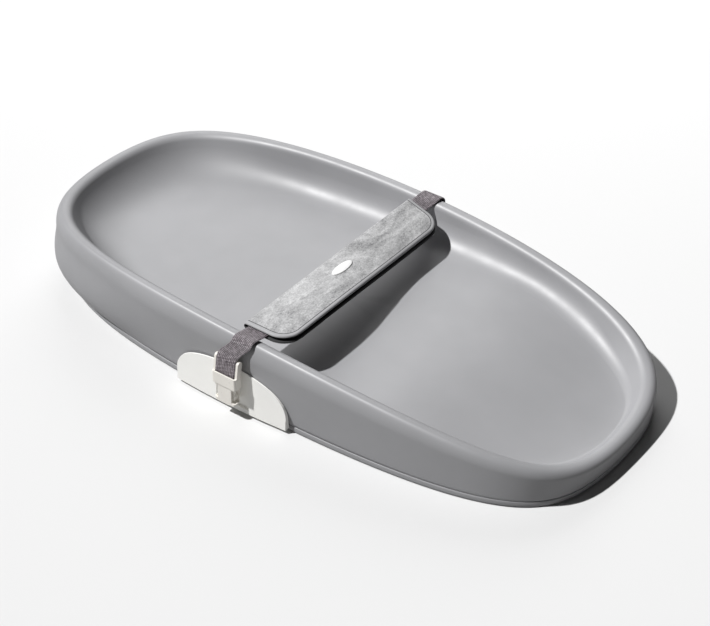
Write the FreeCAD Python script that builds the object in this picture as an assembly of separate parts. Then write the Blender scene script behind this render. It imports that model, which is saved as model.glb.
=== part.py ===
"""Contoured baby changing pad: a foam basin on a base tray with a buckled, padded safety belt.

Frame: +X from the head end to the low foot end, +Y to the far side, +Z up.
The origin is on the ground, at the middle of the footprint.
"""
import FreeCAD, Part
import math
import os

Vector = FreeCAD.Vector
X_AXIS = Vector(1, 0, 0)
Y_AXIS = Vector(0, 1, 0)
Z_AXIS = Vector(0, 0, 1)

# --- driving dimensions, millimetres ---
LENGTH = 813.0
WIDTH = 393.4
RIM_HEIGHTS = (32.0, 62.0, 108.4, 109.6, 106.1)    # every 45 degrees from foot tip to head tip
GRIP_HEIGHT = 1.5
GRIP_RADIUS = 14.0
GRIP_SPREAD_X = 270.0
GRIP_SPREAD_Y = 105.0
TRAY_FLOOR = 3.0
TRAY_HEIGHT = 7.5
BELT_WIDTH = 29.0
BELT_THICKNESS = 1.5
GAP = 0.3                                          # clearance between neighbouring pieces
SCREW_FIT = 0.1                                    # how much a screw's hole is wider than its shank

# --- foam basin ---
HALF_LENGTH = LENGTH / 2
HALF_WIDTH = WIDTH / 2
SQUARENESS_X = 0.0908 * HALF_LENGTH
SQUARENESS_Y = 0.0336 * HALF_WIDTH
EGG_X = 0.0117 * HALF_LENGTH
EGG_Y = 0.0074 * HALF_WIDTH
SEAM_HEIGHT = GRIP_HEIGHT + TRAY_HEIGHT
BASE_INSET_MIDDLE = 8.0
BASE_INSET_TAPER = 7.0
FOOT_ROUNDING = 35.0
HEAD_SWELL = 5.0
EDGE_RADIUS = 9.0
EDGE_DROP_SHARE = 0.2                              # share of the rim height taken up by the rolled edge
CREST_WIDTH = 11.0
WALL_SLOPE_SIDE = math.radians(85)
WALL_SLOPE_HEAD = math.radians(60)
WALL_SLOPE_FOOT = math.radians(50)
LIP_RADIUS_SIDE = 9.0
LIP_RADIUS_END = 12.0
FILLET_SIDE = 36.0
FILLET_HEAD = 75.0
FILLET_FOOT = 16.0
FILLET_TO_DEPTH = 0.9   # towards the foot, a fillet is at most this share of the depth
FLOOR_HEIGHT = 61.0
FLOOR_DROP = 37.0
FLOOR_FLAT_TO_X = 140.0
FLOOR_MIDDLE_SHARE = 0.25
RING_POINTS = 48
WALL_STEPS = 6
LIP_STEPS = 4
FILLET_STEPS = 7
FILLET_FIRST_SHARE = 0.08

# --- belt and brackets ---
BRACKET_SPAN = 168.0
BRACKET_SHOULDER = 17.0
BRACKET_PLAN_RADIUS = 1100.0
BRACKET_BOTTOM = 5.0
BRACKET_TOP = 65.0
BRACKET_FACE_TOP = 197.4
BRACKET_FACE_BOTTOM = 200.0
RECESS_WIDTH = 50.0
RECESS_OFFSET = -1.5
RECESS_BOTTOM = 11.0
RECESS_FLOOR = 196.0
RECESS_SKIN = 2.1
FLANGE_THICKNESS = 3.0
BRACKET_CLEARANCE = 1.1
FLANGE_REACH = 30.0
FRONT_BRACKET_X = -22.0
REAR_BRACKET_X = 0.0
SCREW_RADIUS = 2.0
SCREW_HEAD_RADIUS = 3.8
SCREW_HEAD_HEIGHT = 1.6
SCREW_LENGTH = 6.0
FLANGE_SCREW_SPACING = 40.0
BELT_UNDERSIDE = 110.7
BELT_RIM_GAP = 0.8
BELT_DRIFT = 4.4
SKEW_START_Y = -170.0
SKEW_RUN_TO_RIM = 30.0
SKEW_RUN_TO_BAR = 34.0
RIM_LEAVE_ANGLE = 67.0
BAR_LEAVE_ANGLE = 80.0
ANCHOR_Y = 204.5
ANCHOR_Z = 45.0
ANCHOR_RADIUS = 2.5
EAR_THICKNESS = 4.0
EAR_WALL = 3.0                                     # plastic round the anchor pin

# --- side-release buckle ---
BUCKLE_X = -15.5
BUCKLE_MIDDLE_Y = -208.5
BUCKLE_WIDTH = 36.0
COLLAR_DEPTH = 13.0
COLLAR_TOP = 63.0
COLLAR_SLOT = 4.0
COLLAR_LIP = 2.0
COLLAR_ROUND = 3.0
SOCKET_WIDTH = 31.4
SOCKET_DEPTH = 11.0
SOCKET_BOTTOM = 21.0
SOCKET_TOP = 46.5
SOCKET_PANEL = 2.0
MOUTH_WIDTH = 28.4
WINDOW_BOTTOM = 25.0
WINDOW_TOP = 44.5
WINDOW_DEPTH = 5.6
SOCKET_SIDE_ROUND = 2.5
SOCKET_FOOT_ROUND = 5.0
SOCKET_SCREW_HEIGHTS = (29.0, 38.0)
SOCKET_SCREW_RADIUS = 1.25
SOCKET_SCREW_LENGTH = 8.0
SOCKET_SCREW_HEAD_RADIUS = 2.6
SOCKET_SCREW_HEAD_HEIGHT = 1.4
BOSS_WIDTH = 18.0
LOOP_BAR_Y = -204.5
LOOP_BAR_Z = 80.0
LOOP_BAR_RADIUS = 2.4
LOOP_NOSE = 4.0
TONGUE_WIDTH = 5.0
TONGUE_DEPTH = 4.4
LATCH_PIVOT_X = 10.0
LATCH_WIDTH = 4.0
LATCH_DEPTH = 4.6
LATCH_TIP = 27.0
LATCH_PAD_RADIUS = 4.6

# --- cover over the belt ---
COVER_FOLD_X = -12.5
COVER_FREE_X = 50.0
COVER_NEAR_Y = -173.0
COVER_FAR_Y = 158.5
COVER_CORNER = 27.0
LOWER_PANEL_THICKNESS = 3.2
LINING_THICKNESS = 0.8
PADDING_THICKNESS = 2.5
FABRIC_THICKNESS = 1.0
BINDING_WIDTH = 2.4
HOOK_THICKNESS = 1.1
HOOK_WIDTH = 20.0
SEAM_INSET = 5.0
SEAM_WIDTH = 0.8
SEAM_RISE = 0.4
LABEL_X = 12.0
LABEL_Y = -16.0
LABEL_LENGTH = 40.0
LABEL_WIDTH = 13.0
LABEL_RISE = 0.8
FILM = 0.02                                        # hair of air under parts that sit on a face


# ---------------------------------------------------------------- basin shape
def outline_x(angle):
    """X of the rim's outer edge; the angle runs from the foot tip (0) round to the head tip (pi)."""
    main = HALF_LENGTH + SQUARENESS_X
    return main * math.cos(angle) - EGG_X * (math.cos(2 * angle) - 1) - SQUARENESS_X * math.cos(3 * angle)


def outline_y(angle):
    """Y of the rim's outer edge."""
    main = HALF_WIDTH + SQUARENESS_Y
    return main * math.sin(angle) - EGG_Y * math.sin(2 * angle) + SQUARENESS_Y * math.sin(3 * angle)


def rim_height(angle):
    """Smooth cosine series through the named rim heights."""
    last = len(RIM_HEIGHTS) - 1
    total = 0.0
    for order in range(last + 1):
        coefficient = 0.0
        for station, height in enumerate(RIM_HEIGHTS):
            weight = 0.5 if station in (0, last) else 1.0
            coefficient += weight * height * math.cos(math.pi * station * order / last)
        share = 1.0 if order in (0, last) else 2.0
        total += share * coefficient / last * math.cos(order * angle)
    return total


def smooth_step(share):
    """0 to 1 with a level start and end."""
    share = min(1.0, max(0.0, share))
    return share * share * (3 - 2 * share)


def floor_height(x):
    """The basin's floor is level under the body and falls away towards the feet."""
    return FLOOR_HEIGHT - FLOOR_DROP * smooth_step((x - FLOOR_FLAT_TO_X) / (HALF_LENGTH - FLOOR_FLAT_TO_X))


def base_inset(x):
    """How far the base sits inside the rim's edge: more at the head, almost none at the foot."""
    return BASE_INSET_MIDDLE - BASE_INSET_TAPER * x / HALF_LENGTH


def inset_point(angle, inset, z):
    """A point moved in from the rim's outline by an inset, at height z."""
    x = outline_x(angle) * (1 - inset / HALF_LENGTH)
    y = outline_y(angle) * (1 - inset / HALF_WIDTH)
    return Vector(x, y, z)


def base_point(angle, extra, z):
    """A point on the base's outline, moved in by an extra amount."""
    return inset_point(angle, base_inset(outline_x(angle)) + extra, z)


def wall_height(angle):
    """Height of the outer wall between the seam and the start of the rolled edge."""
    return rim_height(angle) * (1 - EDGE_DROP_SHARE) - SEAM_HEIGHT


def outer_wall_point(angle, share):
    """A point on the outer wall, from the seam (0) to the start of the rolled edge (1).

    The wall is straight along the sides; round the head end it swells out above a rounded foot.
    """
    x = outline_x(angle)
    foot = base_inset(x)
    rise = wall_height(angle) * share
    straight = foot * (1 - share)
    swell = HEAD_SWELL * max(0.0, math.sin(math.pi * share)) ** 1.5
    rounded = foot * max(0.0, 1 - rise / FOOT_ROUNDING) ** 2 - swell
    head = smooth_step((-x / HALF_LENGTH - 0.3) / 0.4)
    return inset_point(angle, straight + (rounded - straight) * head, SEAM_HEIGHT + rise)


def edge_point(angle, turn):
    """A point on the rounded outer edge; the turn runs from the wall (0) to the crest (pi/2)."""
    inset = EDGE_RADIUS * (1 - math.cos(turn))
    return inset_point(angle, inset, rim_height(angle) * (1 - EDGE_DROP_SHARE * (1 - math.sin(turn))))


def wall_shape(angle):
    """Slope, lip radius, fillet radius, straight length and floor height of the inner wall at one place."""
    x = outline_x(angle)
    end_share = smooth_step((abs(x) / HALF_LENGTH - 0.45) / 0.55)
    end_slope = WALL_SLOPE_FOOT if x > 0 else WALL_SLOPE_HEAD
    end_fillet = FILLET_FOOT if x > 0 else FILLET_HEAD
    steepest = WALL_SLOPE_SIDE + (end_slope - WALL_SLOPE_SIDE) * end_share
    lip = LIP_RADIUS_SIDE + (LIP_RADIUS_END - LIP_RADIUS_SIDE) * end_share
    fillet = FILLET_SIDE + (end_fillet - FILLET_SIDE) * end_share
    foot_x = x * (1 - (CREST_WIDTH + lip + fillet) / HALF_LENGTH)
    floor = floor_height(foot_x)
    depth = rim_height(angle) - floor
    if x > 0:
        fillet = min(fillet, FILLET_TO_DEPTH * depth)
    slope = min(steepest, math.acos(1 - min(1.0, depth / (lip + fillet))))
    straight = max(0.0, (depth - (lip + fillet) * (1 - math.cos(slope))) / math.sin(slope))
    return slope, lip, fillet, straight, floor


def lip_point(angle, share):
    """A point on the rounded lip between the crest (0) and the straight of the inner wall (1)."""
    slope, lip, _, _, _ = wall_shape(angle)
    turn = slope * share
    z = rim_height(angle) - lip * (1 - math.cos(turn))
    return inset_point(angle, CREST_WIDTH + lip * math.sin(turn), z)


def wall_run(angle):
    """How far the inner wall reaches in from the crest's inner edge."""
    slope, lip, fillet, straight, _ = wall_shape(angle)
    return (lip + fillet) * math.sin(slope) + straight * math.cos(slope)


def fillet_point(angle, share):
    """A point on the hollow fillet between the straight of the inner wall (0) and the floor (1)."""
    slope, _, fillet, _, floor = wall_shape(angle)
    turn = slope * (1 - share)
    inset = CREST_WIDTH + wall_run(angle) - fillet * math.sin(turn)
    return inset_point(angle, inset, floor + fillet * (1 - math.cos(turn)))


def floor_point(angle, share):
    """A point on the floor, from the wall's foot (0) to the flat middle (1)."""
    start = fillet_point(angle, 1.0)
    end = Vector(outline_x(angle), outline_y(angle), 0) * FLOOR_MIDDLE_SHARE
    x = start.x + (end.x - start.x) * share
    y = start.y + (end.y - start.y) * share
    settle = (start.z - floor_height(start.x)) * (1 - share)
    return Vector(x, y, floor_height(x) + settle)


def ring(point_at):
    """A closed smooth curve through one point per step round the outline."""
    points = [point_at(2 * math.pi * step / RING_POINTS) for step in range(RING_POINTS)]
    curve = Part.BSplineCurve()
    curve.interpolate(Points=points, PeriodicFlag=True)
    return Part.Wire([curve.toShape()])


def prism(wire, height):
    """A straight solid raised from a closed flat wire."""
    return Part.Face(wire).extrude(Z_AXIS * height)


def foam_body():
    """The moulded foam basin, with a plug underneath that fills the tray."""
    outer = []
    for step in range(WALL_STEPS + 1):
        outer.append(ring(lambda angle, part=step / WALL_STEPS: outer_wall_point(angle, part)))
    seam = outer[0]
    inner = [outer[-1]]
    for degrees in (22.5, 45, 67.5, 90):
        inner.append(ring(lambda angle, turn=math.radians(degrees): edge_point(angle, turn)))
    for step in range(LIP_STEPS + 1):
        inner.append(ring(lambda angle, part=step / LIP_STEPS: lip_point(angle, part)))
    for step in range(FILLET_STEPS + 1):
        share = FILLET_FIRST_SHARE + (1 - FILLET_FIRST_SHARE) * step / FILLET_STEPS
        inner.append(ring(lambda angle, part=share: fillet_point(angle, part)))
    for share in (0.33, 0.67, 1.0):
        inner.append(ring(lambda angle, part=share: floor_point(angle, part)))
    outside = Part.makeLoft(outer, False, True)
    inside = Part.makeLoft(inner, False, True)
    faces = outside.Faces + inside.Faces + [Part.Face(seam), Part.Face(inner[-1])]
    shell = Part.makeShell(faces)
    shell.sewShape()
    body = Part.makeSolid(Part.Shell(shell.Faces))
    plug_wire = ring(lambda angle: base_point(angle, TRAY_FLOOR + GAP, GRIP_HEIGHT + TRAY_FLOOR))
    plug = prism(plug_wire, TRAY_HEIGHT - TRAY_FLOOR)
    for side, middle_x in ((-1, FRONT_BRACKET_X), (1, REAR_BRACKET_X)):
        plug = plug.cut(flange_space(side, middle_x))
    return body.fuse(plug).removeSplitter()


def base_tray():
    """A shallow plastic tray under the foam, notched and drilled for the bracket flanges."""
    tray = prism(ring(lambda angle: base_point(angle, 0, GRIP_HEIGHT)), TRAY_HEIGHT)
    hollow = prism(ring(lambda angle: base_point(angle, TRAY_FLOOR, GRIP_HEIGHT + TRAY_FLOOR)), TRAY_HEIGHT)
    tray = tray.cut(hollow)
    for side, middle_x in ((-1, FRONT_BRACKET_X), (1, REAR_BRACKET_X)):
        tray = tray.cut(flange_space(side, middle_x))
        for x, y in flange_screw_places(side, middle_x):
            tray = tray.cut(Part.makeCylinder(SCREW_RADIUS + GAP, SEAM_HEIGHT, Vector(x, y, 0)))
            head_room = Part.makeCylinder(SCREW_HEAD_RADIUS + GAP, SCREW_HEAD_HEIGHT + GAP,
                                          Vector(x, y, GRIP_HEIGHT))
            tray = tray.cut(head_room)
    return tray


def grip_feet():
    """Round rubber grips stuck under the tray, one of them at the middle."""
    places = [(0, 0)]
    for x in (-GRIP_SPREAD_X, 0.0, GRIP_SPREAD_X):
        for y in (-GRIP_SPREAD_Y, GRIP_SPREAD_Y):
            places.append((x, y))
    grips = [Part.makeCylinder(GRIP_RADIUS, GRIP_HEIGHT, Vector(x, y, 0)) for x, y in places]
    return Part.makeCompound(grips)


# ---------------------------------------------------------------- brackets
def flange_width():
    """Width of the flange that reaches in under the foam."""
    return 0.6 * BRACKET_SPAN


def flange_space(side, middle_x):
    """The room left in the tray wall and the foam plug for one bracket's flange."""
    width = flange_width() + 4 * GAP
    depth = FLANGE_REACH + 20.0
    near = HALF_WIDTH - FLANGE_REACH - 10.0
    low = near if side > 0 else -near - depth
    bottom = GRIP_HEIGHT + TRAY_FLOOR
    return Part.makeBox(width, depth, SEAM_HEIGHT - bottom, Vector(middle_x - width / 2, low, bottom))


def flange_screw_places(side, middle_x):
    """The three places where a bracket is screwed to the tray."""
    y = side * (HALF_WIDTH - FLANGE_REACH + 1.0)
    return [(middle_x + step * FLANGE_SCREW_SPACING, y) for step in (-1, 0, 1)]


def back_face_y(z):
    """Distance of a bracket's sloping back from the centre plane, just clear of the foam's wall."""
    slope = BASE_INSET_MIDDLE / wall_height(math.pi / 2)
    return HALF_WIDTH - BASE_INSET_MIDDLE + slope * (z - SEAM_HEIGHT) + BRACKET_CLEARANCE


def half_moon(middle_x, y):
    """The bracket's outline in a plane of constant y: a flat bottom under a broad arch."""
    half = BRACKET_SPAN / 2
    left_low = Vector(middle_x - half, y, BRACKET_BOTTOM)
    left_high = Vector(middle_x - half, y, BRACKET_SHOULDER)
    right_low = Vector(middle_x + half, y, BRACKET_BOTTOM)
    arch_points = [left_high]
    steps = 12
    for step in range(1, steps):
        angle = math.pi * (1 - step / steps)
        bulge = math.sin(angle) ** 0.72
        arch_points.append(Vector(middle_x + half * math.cos(angle), y,
                                  BRACKET_SHOULDER + (BRACKET_TOP - BRACKET_SHOULDER) * bulge))
    right_high = Vector(middle_x + half, y, BRACKET_SHOULDER)
    arch_points.append(right_high)
    arch = Part.BSplineCurve()
    arch.interpolate(Points=arch_points)
    edges = [Part.makeLine(left_low, left_high), arch.toShape(), Part.makeLine(right_high, right_low),
             Part.makeLine(right_low, left_low)]
    return Part.Wire(edges)


def block_between(front_bottom, front_top, back_bottom, back_top, low_z, high_z, low_x, high_x):
    """A block whose front and back slope with height, each given by its y at the two heights."""
    corners = [Vector(low_x, front_bottom, low_z), Vector(low_x, front_top, high_z),
               Vector(low_x, back_top, high_z), Vector(low_x, back_bottom, low_z)]
    wire = Part.makePolygon(corners + corners[:1])
    return Part.Face(wire).extrude(X_AXIS * (high_x - low_x))


def curved_front(middle_x, low_z, high_z):
    """A broad cone whose near edge is the bracket's face: it follows the pad's plan and leans inwards."""
    centre = Vector(middle_x, BRACKET_FACE_BOTTOM - BRACKET_PLAN_RADIUS, low_z)
    top_radius = BRACKET_PLAN_RADIUS - (BRACKET_FACE_BOTTOM - BRACKET_FACE_TOP)
    return Part.makeCone(BRACKET_PLAN_RADIUS, top_radius, high_z - low_z, centre)


def plain_bracket(middle_x, recess_x):
    """A bracket on the +Y side: a half-moon plate with a recess, and a flange reaching inwards."""
    plate = Part.Face(half_moon(middle_x, HALF_WIDTH - FLANGE_REACH)).extrude(Y_AXIS * (2 * FLANGE_REACH))
    low_z = BRACKET_BOTTOM - 1
    high_z = BRACKET_TOP + 1
    front = BRACKET_FACE_BOTTOM + 1
    slab = block_between(front, front, back_face_y(low_z), back_face_y(high_z),
                         low_z, high_z, middle_x - BRACKET_SPAN, middle_x + BRACKET_SPAN)
    plate = plate.common(slab).common(curved_front(middle_x, low_z, high_z))
    recess = Part.makeBox(RECESS_WIDTH, FLANGE_REACH, BRACKET_TOP,
                          Vector(recess_x - RECESS_WIDTH / 2, RECESS_FLOOR, RECESS_BOTTOM))
    behind = block_between(RECESS_FLOOR - RECESS_SKIN, RECESS_FLOOR - RECESS_SKIN, back_face_y(low_z) - 1,
                           back_face_y(high_z) - 1, RECESS_BOTTOM, high_z - 10,
                           recess_x - RECESS_WIDTH / 2, recess_x + RECESS_WIDTH / 2)
    plate = plate.cut(recess).cut(behind)
    flange_low = GRIP_HEIGHT + TRAY_FLOOR + GAP
    corner = Vector(middle_x - flange_width() / 2, back_face_y(0) + 2 - FLANGE_REACH, flange_low)
    flange = Part.makeBox(flange_width(), FLANGE_REACH, FLANGE_THICKNESS, corner)
    bracket = plate.fuse(flange)
    for x, y in flange_screw_places(1, middle_x):
        start = Vector(x, y, flange_low - 1)
        bracket = bracket.cut(Part.makeCylinder(SCREW_RADIUS + SCREW_FIT, 2 * FLANGE_THICKNESS, start))
    return bracket


def mirrored_to_near_side(shape):
    """The same shape on the -Y side."""
    return shape.mirror(Vector(0, 0, 0), Y_AXIS)


def front_bracket():
    """The near bracket, drilled for the screws that hold the buckle's socket."""
    bracket = mirrored_to_near_side(plain_bracket(FRONT_BRACKET_X, BUCKLE_X + RECESS_OFFSET))
    for z in SOCKET_SCREW_HEIGHTS:
        start = Vector(BUCKLE_X, -RECESS_FLOOR - 1, z)
        bracket = bracket.cut(Part.makeCylinder(SOCKET_SCREW_RADIUS + GAP, 2 * RECESS_SKIN, start, Y_AXIS))
    return bracket


def rear_bracket():
    """The far bracket, with two ears that hold the belt's anchor pin."""
    bracket = plain_bracket(REAR_BRACKET_X, REAR_BRACKET_X)
    nose = ANCHOR_RADIUS + EAR_WALL
    inner = BELT_WIDTH / 2 + 1.0
    for low_x in (REAR_BRACKET_X + inner, REAR_BRACKET_X - inner - EAR_THICKNESS):
        round_end = Part.makeCylinder(nose, EAR_THICKNESS, Vector(low_x, ANCHOR_Y, ANCHOR_Z), X_AXIS)
        root = Part.makeBox(EAR_THICKNESS, ANCHOR_Y - RECESS_FLOOR + 1, 2 * nose,
                            Vector(low_x, RECESS_FLOOR - 1, ANCHOR_Z - nose))
        bracket = bracket.fuse(root).fuse(round_end)
    hole_length = 2 * (inner + EAR_THICKNESS + 1)
    hole = Part.makeCylinder(ANCHOR_RADIUS + 0.05, hole_length,
                             Vector(REAR_BRACKET_X - hole_length / 2, ANCHOR_Y, ANCHOR_Z), X_AXIS)
    return bracket.cut(hole)


def rear_anchor_pin():
    """The steel pin that the belt's far end loops round."""
    length = BELT_WIDTH + 2 * (EAR_THICKNESS + 1)
    start = Vector(REAR_BRACKET_X - length / 2, ANCHOR_Y, ANCHOR_Z)
    return Part.makeCylinder(ANCHOR_RADIUS, length, start, X_AXIS)


def bracket_screws():
    """Six screws that come up through the tray into the bracket flanges."""
    screws = []
    for side, middle_x in ((-1, FRONT_BRACKET_X), (1, REAR_BRACKET_X)):
        for x, y in flange_screw_places(side, middle_x):
            bottom = Vector(x, y, GRIP_HEIGHT + 0.1)
            head = Part.makeCylinder(SCREW_HEAD_RADIUS, SCREW_HEAD_HEIGHT, bottom)
            shank = Part.makeCylinder(SCREW_RADIUS, SCREW_LENGTH, bottom)
            screws.append(head.fuse(shank).removeSplitter())
    return Part.makeCompound(screws)


# ---------------------------------------------------------------- buckle
def buckle_box(width, low_y, high_y, low_z, high_z):
    """A block centred on the buckle's middle plane."""
    return Part.makeBox(width, high_y - low_y, high_z - low_z, Vector(BUCKLE_X - width / 2, low_y, low_z))


def upright_edges(shape):
    """The edges of a shape that run straight up."""
    found = []
    for edge in shape.Edges:
        start = edge.Vertexes[0].Point
        end = edge.Vertexes[-1].Point
        if abs(start.x - end.x) < 0.01 and abs(start.y - end.y) < 0.01:
            found.append(edge)
    return found


def bottom_side_edges(block):
    """The two lowest edges of a block that run front to back."""
    found = []
    for edge in block.Edges:
        start = edge.Vertexes[0].Point
        end = edge.Vertexes[-1].Point
        if abs(start.x - end.x) < 0.01 and max(start.z, end.z) < block.BoundBox.ZMin + 0.01:
            found.append(edge)
    return found


def buckle_socket():
    """The fixed half of the buckle: a flat box with open side windows, on a boss that meets the bracket."""
    front = BUCKLE_MIDDLE_Y - SOCKET_DEPTH / 2
    back = BUCKLE_MIDDLE_Y + SOCKET_DEPTH / 2
    body = buckle_box(SOCKET_WIDTH, front, back, SOCKET_BOTTOM, SOCKET_TOP)
    body = body.makeFillet(SOCKET_SIDE_ROUND, upright_edges(body))
    lower_corners = buckle_box(SOCKET_WIDTH, front - 1, back + 1, SOCKET_BOTTOM, SOCKET_TOP)
    lower_corners = lower_corners.makeFillet(SOCKET_FOOT_ROUND, bottom_side_edges(lower_corners))
    body = body.common(lower_corners)
    cavity = buckle_box(MOUTH_WIDTH, front + SOCKET_PANEL, back - SOCKET_PANEL,
                        WINDOW_BOTTOM - 1, SOCKET_TOP + 1)
    body = body.cut(cavity)
    for side in (-1, 1):
        edge_x = BUCKLE_X + side * SOCKET_WIDTH / 2
        low_x = edge_x - WINDOW_DEPTH if side > 0 else edge_x - 1
        window = Part.makeBox(WINDOW_DEPTH + 1, SOCKET_DEPTH - SOCKET_PANEL + 1, WINDOW_TOP - WINDOW_BOTTOM,
                              Vector(low_x, front - 1, WINDOW_BOTTOM))
        body = body.cut(window)
    boss = buckle_box(BOSS_WIDTH, back - 0.5, -RECESS_FLOOR - FILM, SOCKET_BOTTOM + 4, SOCKET_TOP - 3)
    body = body.fuse(boss)
    for z in SOCKET_SCREW_HEIGHTS:
        hole = Part.makeCylinder(SOCKET_SCREW_RADIUS + SCREW_FIT, SOCKET_SCREW_LENGTH - 1,
                                 Vector(BUCKLE_X, -RECESS_FLOOR + 0.5, z), Y_AXIS * -1)
        body = body.cut(hole)
    return body


def socket_screws():
    """Two small screws that hold the socket from behind the bracket's recess."""
    screws = []
    for z in SOCKET_SCREW_HEIGHTS:
        seat = Vector(BUCKLE_X, -RECESS_FLOOR + RECESS_SKIN + FILM, z)
        head = Part.makeCylinder(SOCKET_SCREW_HEAD_RADIUS, SOCKET_SCREW_HEAD_HEIGHT, seat, Y_AXIS)
        shank = Part.makeCylinder(SOCKET_SCREW_RADIUS, SOCKET_SCREW_LENGTH, seat + Y_AXIS * 0.5, Y_AXIS * -1)
        screws.append(head.fuse(shank).removeSplitter())
    return Part.makeCompound(screws)


def buckle_insert():
    """The belt's half of the buckle: a deep collar, a guide tongue and a loop frame for the webbing."""
    front = BUCKLE_MIDDLE_Y - COLLAR_DEPTH / 2
    back = BUCKLE_MIDDLE_Y + COLLAR_DEPTH / 2
    collar_bottom = SOCKET_TOP + GAP
    collar = buckle_box(BUCKLE_WIDTH, front, back, collar_bottom, COLLAR_TOP)
    collar = collar.makeFillet(COLLAR_ROUND, upright_edges(collar))
    slot_width = BELT_WIDTH + 1.0
    slot_front = front + COLLAR_LIP
    slot = buckle_box(slot_width, slot_front, slot_front + COLLAR_SLOT, COLLAR_TOP - 9, COLLAR_TOP + 1)
    collar = collar.cut(slot)
    tongue = buckle_box(TONGUE_WIDTH, BUCKLE_MIDDLE_Y - TONGUE_DEPTH / 2, BUCKLE_MIDDLE_Y + TONGUE_DEPTH / 2,
                        SOCKET_BOTTOM + 8, collar_bottom + 1)
    insert = collar.fuse(tongue)
    arm_width = (BUCKLE_WIDTH - slot_width) / 2
    for side in (-1, 1):
        low_x = BUCKLE_X - BUCKLE_WIDTH / 2 if side < 0 else BUCKLE_X + slot_width / 2
        insert = insert.fuse(loop_arm(low_x, arm_width, front, back))
    bar = Part.makeCylinder(LOOP_BAR_RADIUS, slot_width + 1,
                            Vector(BUCKLE_X - slot_width / 2 - 0.5, LOOP_BAR_Y, LOOP_BAR_Z), X_AXIS)
    return insert.fuse(bar).removeSplitter()


def loop_arm(low_x, width, front, back):
    """One side of the loop frame: it rises from the collar and leans back towards the pad."""
    root_z = COLLAR_TOP - 3
    corners = [Vector(low_x, front + 3, root_z), Vector(low_x, LOOP_BAR_Y - LOOP_NOSE, LOOP_BAR_Z),
               Vector(low_x, LOOP_BAR_Y + LOOP_NOSE, LOOP_BAR_Z), Vector(low_x, back - 3, root_z)]
    arm = Part.Face(Part.makePolygon(corners + corners[:1])).extrude(X_AXIS * width)
    top = Part.makeCylinder(LOOP_NOSE, width, Vector(low_x, LOOP_BAR_Y, LOOP_BAR_Z), X_AXIS)
    return arm.fuse(top)


def buckle_latch(side):
    """One springy latch arm, with a rounded thumb pad that shows in the socket's window."""
    pivot = Vector(BUCKLE_X + side * LATCH_PIVOT_X, BUCKLE_MIDDLE_Y - LATCH_DEPTH / 2,
                   SOCKET_TOP - LATCH_WIDTH / 2)
    root = Part.makeCylinder(LATCH_WIDTH / 2, LATCH_DEPTH, pivot, Y_AXIS)
    stem = Part.makeBox(LATCH_WIDTH, LATCH_DEPTH, pivot.z - LATCH_TIP,
                        Vector(pivot.x - LATCH_WIDTH / 2, pivot.y, LATCH_TIP))
    pad_x = BUCKLE_X + side * (MOUTH_WIDTH / 2 - 0.4 - LATCH_PAD_RADIUS)
    pad = Part.makeCylinder(LATCH_PAD_RADIUS, LATCH_DEPTH,
                            Vector(pad_x, pivot.y, LATCH_TIP + LATCH_PAD_RADIUS + 1), Y_AXIS)
    return root.fuse(stem).fuse(pad).removeSplitter()


# ---------------------------------------------------------------- belt
def arc_path(centre_y, centre_z, radius, start, end, steps):
    """Points in the y-z plane along an arc; angles in degrees from +Y towards +Z."""
    points = []
    for step in range(steps + 1):
        angle = math.radians(start + (end - start) * step / steps)
        points.append((centre_y + radius * math.cos(angle), centre_z + radius * math.sin(angle)))
    return points


def webbing_solid(path, width):
    """A flat strap along a list of (x, y, z) points, with its width along X."""
    sections = []
    for index, point in enumerate(path):
        before = path[max(0, index - 1)]
        after = path[min(len(path) - 1, index + 1)]
        run = math.hypot(after.y - before.y, after.z - before.z)
        normal = Vector(0, -(after.z - before.z) / run, (after.y - before.y) / run)
        side = X_AXIS * (width / 2)
        lift = normal * (BELT_THICKNESS / 2)
        corners = [point - side - lift, point + side - lift, point + side + lift, point - side + lift]
        sections.append(Part.makePolygon(corners + corners[:1]))
    return Part.makeLoft(sections, True, True)


def belt_x(y, z):
    """The belt drifts a little on its way across, then swings over to the buckle down the near wall."""
    top_z = BELT_UNDERSIDE + BELT_THICKNESS / 2
    run = (SKEW_START_Y - y) + (top_z - z) if y < SKEW_START_Y else 0.0
    drift = BELT_DRIFT * smooth_step((HALF_WIDTH - y) / WIDTH) * (1 - smooth_step(run / SKEW_RUN_TO_RIM))
    return drift + BUCKLE_X * smooth_step((run - SKEW_RUN_TO_RIM) / SKEW_RUN_TO_BAR)


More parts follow.
